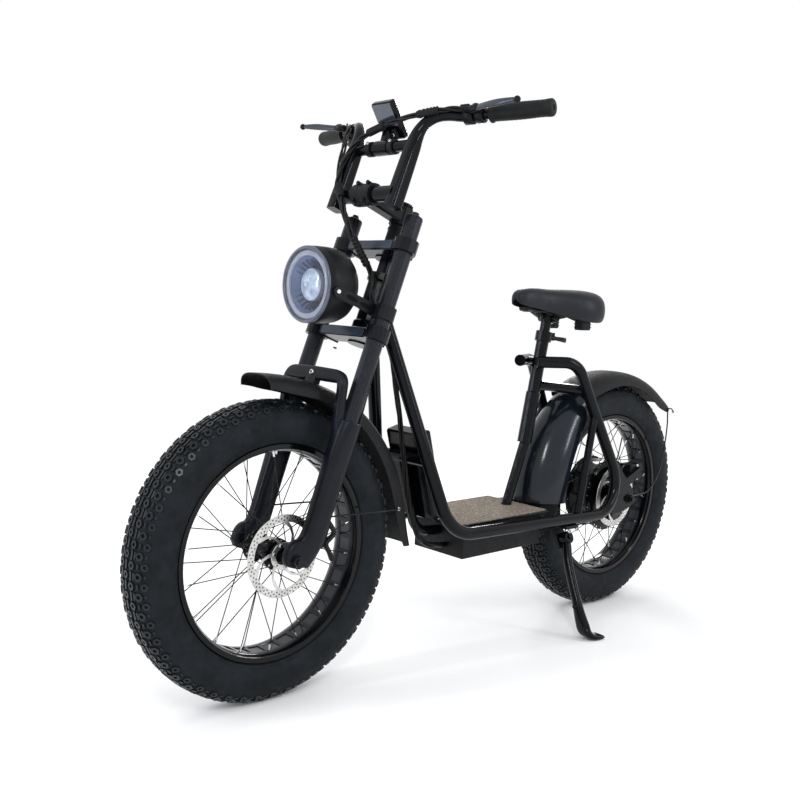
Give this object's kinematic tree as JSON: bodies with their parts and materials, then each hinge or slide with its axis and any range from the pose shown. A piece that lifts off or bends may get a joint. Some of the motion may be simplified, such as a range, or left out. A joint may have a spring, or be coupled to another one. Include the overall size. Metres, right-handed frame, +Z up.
{
  "type": "fat tire electric scooter",
  "caption": "Step-through electric scooter with fat spoked wheels, a bent-tube frame round a foot deck, a motorcycle-style fork, a round headlight, tall bars, a saddle and a side stand.",
  "frame": {"origin": "on the floor, at the centre of the base of the bounding box", "axes": "+X towards the front wheel, +Y to the scooter's left, the side it leans to, +Z up"},
  "size_m": [1.6486, 0.686, 1.1803],
  "materials": {
    "gloss_black": "glossy black paint",
    "matt_black": "satin black paint",
    "rubber": "moulded rubber grip",
    "tyre": "dull black tyre rubber",
    "steel": "bare brushed steel",
    "grip_tape": "coarse grit sheet with bright grains",
    "vinyl": "smooth dark vinyl",
    "black_plastic": "matt black plastic",
    "lens": "clear lens over a blue reflector"
  },
  "bodies": {
    "frame": {"head_tube": "gloss_black", "frame_rail_left": "gloss_black", "stay_left": "gloss_black", "frame_rail_right": "gloss_black", "stay_right": "gloss_black", "rear_cross_tube": "gloss_black", "front_cross_tube": "gloss_black", "seat_tube": "gloss_black", "seat_collar": "gloss_black", "deck_plate": "gloss_black", "deck_grip": "grip_tape", "controller_box": "black_plastic", "battery_pack": "black_plastic", "inner_mudguard": "gloss_black", "rear_fender": "black_plastic", "stand_bracket": "matt_black", "rear_brake_caliper": "matt_black", "rear_axle": "steel"},
    "steering": {"upper_crown": "matt_black", "lower_crown": "matt_black", "stanchion_left": "gloss_black", "stanchion_right": "gloss_black", "fork_lowers": "matt_black", "front_axle": "steel", "front_fender": "black_plastic", "headlight_housing": "matt_black", "headlight_lens": "lens", "headlight_bracket_left": "matt_black", "headlight_bracket_right": "matt_black", "stem": "matt_black", "handlebar": "gloss_black", "grip_left": "rubber", "brake_lever_left": "matt_black", "grip_right": "rubber", "brake_lever_right": "matt_black", "display": "black_plastic", "front_brake_caliper": "matt_black"},
    "front_wheel": {"front_tyre": "tyre", "front_rim": "gloss_black", "front_rotor": "steel"},
    "rear_wheel": {"rear_tyre": "tyre", "rear_rim": "gloss_black", "rear_rotor": "steel"},
    "side_stand": {"stand_leg": "matt_black"},
    "seat": {"seat_post": "gloss_black", "saddle": "vinyl", "saddle_frame": "matt_black"}
  },
  "joints": [
    {"name": "steering", "type": "hinge", "parent": "frame", "child": "steering", "pos_m": [0.47071, -0.05563, 0.26854], "axis": [-0.3502, 0.0596, 0.9348], "range_deg": [-40, 40]},
    {"name": "front_wheel_spin", "type": "hinge", "parent": "steering", "child": "front_wheel", "pos_m": [0.53225, -0.05416, 0.2915], "axis": [0, 0.998, -0.0637], "continuous": true},
    {"name": "rear_wheel_spin", "type": "hinge", "parent": "frame", "child": "rear_wheel", "pos_m": [-0.53225, -0.05416, 0.2915], "axis": [0, 0.998, -0.0637], "continuous": true},
    {"name": "stand_fold", "type": "hinge", "parent": "frame", "child": "side_stand", "pos_m": [-0.27625, 0.0413, 0.21728], "axis": [0, 0.9292, 0.3695], "range_deg": [0, 88]},
    {"name": "seat_height", "type": "slide", "parent": "frame", "child": "seat", "axis": [-0.1903, 0.0625, 0.9797], "range_m": [0, 0.1]}
  ]
}
